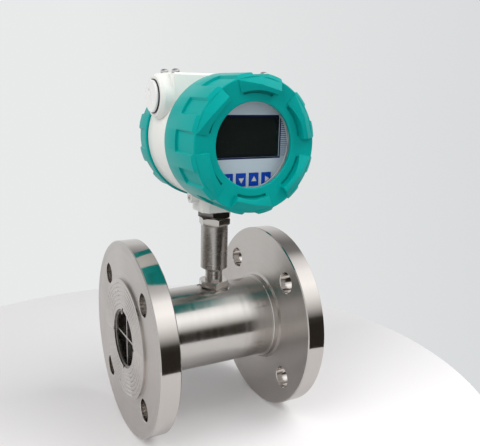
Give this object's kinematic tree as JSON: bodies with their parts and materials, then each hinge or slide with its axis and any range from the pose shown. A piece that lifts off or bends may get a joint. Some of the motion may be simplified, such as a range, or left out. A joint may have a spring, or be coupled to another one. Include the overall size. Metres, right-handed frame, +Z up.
{
  "type": "turbine flow meter",
  "caption": "Flanged liquid turbine flow meter: a straight pipe body with a bladed rotor in its bore, a pickup stem and a round head with screwed covers, a display and keys.",
  "frame": {"origin": "centre of the inlet flange's raised face, on the bore's axis", "axes": "+X along the flow towards the outlet flange, +Z up the pickup stem to the head, and -Y out of the display at rest"},
  "size_m": [0.15, 0.165, 0.304],
  "materials": {
    "polished_steel": "turned and polished stainless steel",
    "vane_steel": "bare stainless sheet, brushed",
    "rotor_steel": "bare stainless, machined",
    "spring_steel": "bare spring steel",
    "bearing_carbide": "ground carbide",
    "stem_steel": "turned stainless steel",
    "dark_steel": "dark oxidised steel",
    "screw_steel": "zinc-plated steel",
    "coil_copper": "enamelled copper wire",
    "pole_iron": "soft iron, bare",
    "bobbin_plastic": "moulded, natural colour",
    "white_paint": "warm white powder coat on cast aluminium",
    "teal_paint": "teal powder coat on cast aluminium",
    "black_rubber": "black rubber",
    "window_glass": "clear toughened glass",
    "panel_grey": "light grey printed film on a plate",
    "display_dark": "dark display glass",
    "key_blue": "blue moulded keys",
    "board_green": "green solder mask on fibreglass",
    "post_brass": "nickelled brass",
    "terminal_plastic": "green moulded terminal block",
    "plug_white": "white moulded plastic"
  },
  "bodies": {
    "meter_body": {"meter_tube": "polished_steel", "inlet_flange": "polished_steel", "outlet_flange": "polished_steel", "inlet_straightener": "vane_steel", "outlet_straightener": "vane_steel", "inlet_retaining_ring": "spring_steel", "outlet_retaining_ring": "spring_steel", "inlet_bearing": "bearing_carbide", "outlet_bearing": "bearing_carbide", "pickup_seat_nut": "stem_steel", "pickup_sleeve": "stem_steel", "pickup_bobbin": "bobbin_plastic", "pickup_coil": "coil_copper", "pole_piece": "pole_iron", "pickup_magnet": "pole_iron", "amplifier_board": "board_green", "stem_adapter": "stem_steel", "stem_lock_nut": "dark_steel"},
    "rotor": {"rotor": "rotor_steel", "rotor_shaft": "bearing_carbide"},
    "head": {"housing": "white_paint", "neck_set_screw": "dark_steel", "top_screws": "screw_steel", "fascia": "panel_grey", "fascia_screws": "screw_steel", "liquid_crystal_display": "display_dark", "key_switches": "display_dark", "display_board": "board_green", "main_board": "board_green", "rear_posts": "post_brass", "front_posts": "post_brass", "terminal_board": "board_green", "terminal_posts": "post_brass", "terminal_board_screws": "screw_steel", "terminal_block": "terminal_plastic", "terminal_screws": "screw_steel"},
    "front_seal": {"front_o_ring": "black_rubber"},
    "front_cover": {"front_cover": "teal_paint", "window_glass": "window_glass", "glass_gasket": "black_rubber", "glass_retaining_ring": "screw_steel"},
    "rear_seal": {"rear_o_ring": "black_rubber"},
    "rear_cover": {"rear_cover": "teal_paint"},
    "left_washer": {"left_plug_washer": "black_rubber"},
    "left_plug": {"left_plug": "plug_white"},
    "right_washer": {"right_plug_washer": "black_rubber"},
    "right_plug": {"right_plug": "plug_white"},
    "menu_key": {"menu_key": "key_blue"},
    "down_key": {"down_key": "key_blue"},
    "up_key": {"up_key": "key_blue"},
    "shift_key": {"shift_key": "key_blue"}
  },
  "joints": [
    {"name": "rotor_spin", "type": "hinge", "parent": "meter_body", "child": "rotor", "pos_m": [0.084, 0, 0], "axis": [1, 0, 0], "continuous": true},
    {"name": "head_swivel", "type": "hinge", "parent": "meter_body", "child": "head", "pos_m": [0.084, 0, 0.104], "axis": [0, 0, 1], "range_deg": [-170, 170]},
    {"name": "front_cover_travel", "type": "slide", "parent": "head", "child": "front_seal", "axis": [0, -1, 0], "range_m": [0, 0.018]},
    {"name": "front_cover_turn", "type": "hinge", "parent": "front_seal", "child": "front_cover", "pos_m": [0.084, -0.045, 0.166], "axis": [0, -1, 0], "range_deg": [0, 3240]},
    {"name": "rear_cover_travel", "type": "slide", "parent": "head", "child": "rear_seal", "axis": [0, 1, 0], "range_m": [0, 0.012]},
    {"name": "rear_cover_turn", "type": "hinge", "parent": "rear_seal", "child": "rear_cover", "pos_m": [0.084, 0.035, 0.166], "axis": [0, 1, 0], "range_deg": [0, 2160]},
    {"name": "left_plug_travel", "type": "slide", "parent": "head", "child": "left_washer", "axis": [-1, 0, 0], "range_m": [0, 0.009]},
    {"name": "left_plug_turn", "type": "hinge", "parent": "left_washer", "child": "left_plug", "pos_m": [0.0302, 0.00345, 0.1997], "axis": [-1, 0, 0], "range_deg": [0, 2160]},
    {"name": "right_plug_travel", "type": "slide", "parent": "head", "child": "right_washer", "axis": [1, 0, 0], "range_m": [0, 0.009]},
    {"name": "right_plug_turn", "type": "hinge", "parent": "right_washer", "child": "right_plug", "pos_m": [0.1378, 0.00345, 0.1997], "axis": [1, 0, 0], "range_deg": [0, 2160]},
    {"name": "menu_key_press", "type": "slide", "parent": "head", "child": "menu_key", "axis": [0, 1, 0], "range_m": [0, 0.0004], "stiffness_N_per_m": 1500, "springref_m": -0.0002},
    {"name": "down_key_press", "type": "slide", "parent": "head", "child": "down_key", "axis": [0, 1, 0], "range_m": [0, 0.0004], "stiffness_N_per_m": 1500, "springref_m": -0.0002},
    {"name": "up_key_press", "type": "slide", "parent": "head", "child": "up_key", "axis": [0, 1, 0], "range_m": [0, 0.0004], "stiffness_N_per_m": 1500, "springref_m": -0.0002},
    {"name": "shift_key_press", "type": "slide", "parent": "head", "child": "shift_key", "axis": [0, 1, 0], "range_m": [0, 0.0004], "stiffness_N_per_m": 1500, "springref_m": -0.0002}
  ],
  "couplings": [
    {"joint": "front_cover_travel", "follows": "front_cover_turn", "m_per_rad": 0.00031831},
    {"joint": "rear_cover_travel", "follows": "rear_cover_turn", "m_per_rad": 0.00031831},
    {"joint": "left_plug_travel", "follows": "left_plug_turn", "m_per_rad": 0.00023873},
    {"joint": "right_plug_travel", "follows": "right_plug_turn", "m_per_rad": 0.00023873}
  ]
}
